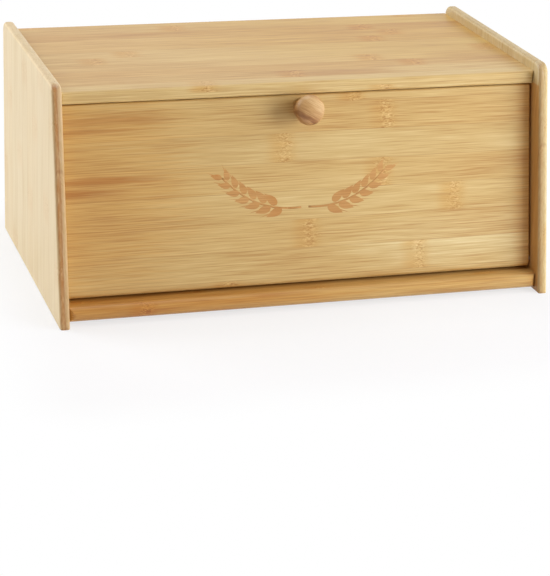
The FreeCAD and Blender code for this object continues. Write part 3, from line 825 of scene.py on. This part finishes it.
def pale_floor():
    material, tree, shader = new_finish("pale_floor")
    shader["Base Color"].default_value = (0.90, 0.93, 0.97, 1.0)
    shader["Roughness"].default_value = 0.9
    shader["Specular IOR Level"].default_value = 0.1
    place = add(tree, "ShaderNodeSeparateXYZ", tree.nodes.new("ShaderNodeTexCoord").outputs["Object"])
    place = place.node.outputs
    beside = maths(tree, "SUBTRACT", maths(tree, "ABSOLUTE", place[0]), cad_bounds[1][0])
    before = maths(tree, "ADD", place[1], -white_from_y)
    before = maths(tree, "SUBTRACT", maths(tree, "ABSOLUTE", before), white_half_depth)
    beside, before = maths(tree, "MAXIMUM", beside, 0.0), maths(tree, "MAXIMUM", before, 0.0)
    distance = maths(tree, "SQRT", maths(tree, "ADD", maths(tree, "MULTIPLY", beside, beside),
                                         maths(tree, "MULTIPLY", before, before)))
    path = tree.nodes.new("ShaderNodeLightPath").outputs
    seen = maths(tree, "MAXIMUM", path["Is Camera Ray"], maths(tree, "MAXIMUM", path["Is Glossy Ray"],
                                                              path["Is Transmission Ray"]))
    far = smooth(tree, distance, 0.0, shadow_reach, near_white, 1.0)
    glow = tree.nodes.new("ShaderNodeEmission")
    glow.inputs["Color"].default_value = clean_white
    mix = tree.nodes.new("ShaderNodeMixShader")
    feed(tree, mix.inputs[0], maths(tree, "MULTIPLY", seen, far))
    tree.links.new(tree.nodes["Principled BSDF"].outputs[0], mix.inputs[1])
    tree.links.new(glow.outputs[0], mix.inputs[2])
    tree.links.new(mix.outputs[0], tree.nodes["Material Output"].inputs["Surface"])
    return material


floor_mesh = bpy.data.meshes.new("pale_floor")
half = floor_size / 2
floor_corners = [(-half, -half, 0), (half, -half, 0), (half, half, 0), (-half, half, 0)]
floor_mesh.from_pydata(floor_corners, [], [(0, 1, 2, 3)])
floor_mesh.materials.append(pale_floor())
floor = bpy.data.objects.new("pale_floor", floor_mesh)
bpy.context.scene.collection.objects.link(floor)

# %% The light
world = bpy.data.worlds.new("studio")
bpy.context.scene.world = world
world.use_nodes = True
world_tree = world.node_tree
ambient = world_tree.nodes["Background"]
ambient.inputs["Color"].default_value = (1.0, 0.64, 0.32, 1.0)
ambient.inputs["Strength"].default_value = 0.20
backdrop = world_tree.nodes.new("ShaderNodeBackground")
backdrop.inputs["Color"].default_value = (1.0, 1.0, 1.0, 1.0)
world_path = world_tree.nodes.new("ShaderNodeLightPath").outputs
world_seen = maths(world_tree, "MAXIMUM", world_path["Is Camera Ray"], maths(
    world_tree, "MAXIMUM", world_path["Is Glossy Ray"], world_path["Is Transmission Ray"]))
world_mix = world_tree.nodes.new("ShaderNodeMixShader")
feed(world_tree, world_mix.inputs[0], world_seen)
world_tree.links.new(ambient.outputs[0], world_mix.inputs[1])
world_tree.links.new(backdrop.outputs[0], world_mix.inputs[2])
world_tree.links.new(world_mix.outputs[0], world_tree.nodes["World Output"].inputs["Surface"])

box_middle = (Vector(cad_bounds[0]) + Vector(cad_bounds[1])) / 2


def lamp(name, azimuth, elevation, distance, size, power, tint=(1.0, 1.0, 1.0)):
    """A square soft lamp aimed at the middle of the box; azimuth 0 is in front and 90 to the right."""
    turn, rise = math.radians(azimuth), math.radians(elevation)
    towards = Vector((math.sin(turn) * math.cos(rise), -math.cos(turn) * math.cos(rise), math.sin(rise)))
    data = bpy.data.lights.new(name, "AREA")
    data.energy = power
    data.size = size
    data.color = tint
    made = bpy.data.objects.new(name, data)
    made.location = box_middle + towards * distance
    made.rotation_mode = "QUATERNION"
    made.rotation_quaternion = (-towards).to_track_quat("-Z", "Y")
    bpy.context.scene.collection.objects.link(made)
    return made


key = lamp("key", 54, 8, 1.35, 1.1, 25.0, (1.0, 1.04, 1.17))
key.visible_glossy = False
lamp("overhead", 180, 80, 4.0, 2.4, 68.0)
lamp("left_fill", -122, 25, 2.0, 1.2, 23.0, (0.95, 0.97, 1.05))

# %% The camera
image_height = 576           # pixels; the long side, which the lens is measured against
sensor_width = 36.0
focal_pixels = 2104.2
camera_place = Vector((-0.4929, -1.5723, 0.6022))
camera_azimuth = math.radians(-17.64)
camera_elevation = math.radians(20.85)
camera_roll = math.radians(2.23)

camera_back = Vector((
    math.sin(camera_azimuth) * math.cos(camera_elevation),
    -math.cos(camera_azimuth) * math.cos(camera_elevation),
    math.sin(camera_elevation)))
level_right = (-camera_back).cross(UP).normalized()
level_up = level_right.cross(-camera_back)
camera_right = level_right * math.cos(camera_roll) + level_up * math.sin(camera_roll)
camera_up = level_up * math.cos(camera_roll) - level_right * math.sin(camera_roll)
camera_data = bpy.data.cameras.new("camera")
camera_data.sensor_width = sensor_width
camera_data.lens = focal_pixels * sensor_width / image_height
camera = bpy.data.objects.new("camera", camera_data)
camera.matrix_world = Matrix.Translation(camera_place) @ Matrix((
    camera_right, camera_up, camera_back)).transposed().to_4x4()
bpy.context.scene.collection.objects.link(camera)
bpy.context.scene.camera = camera
bpy.context.scene.view_settings.view_transform = "Standard"
print("lens %.1f mm" % camera_data.lens)
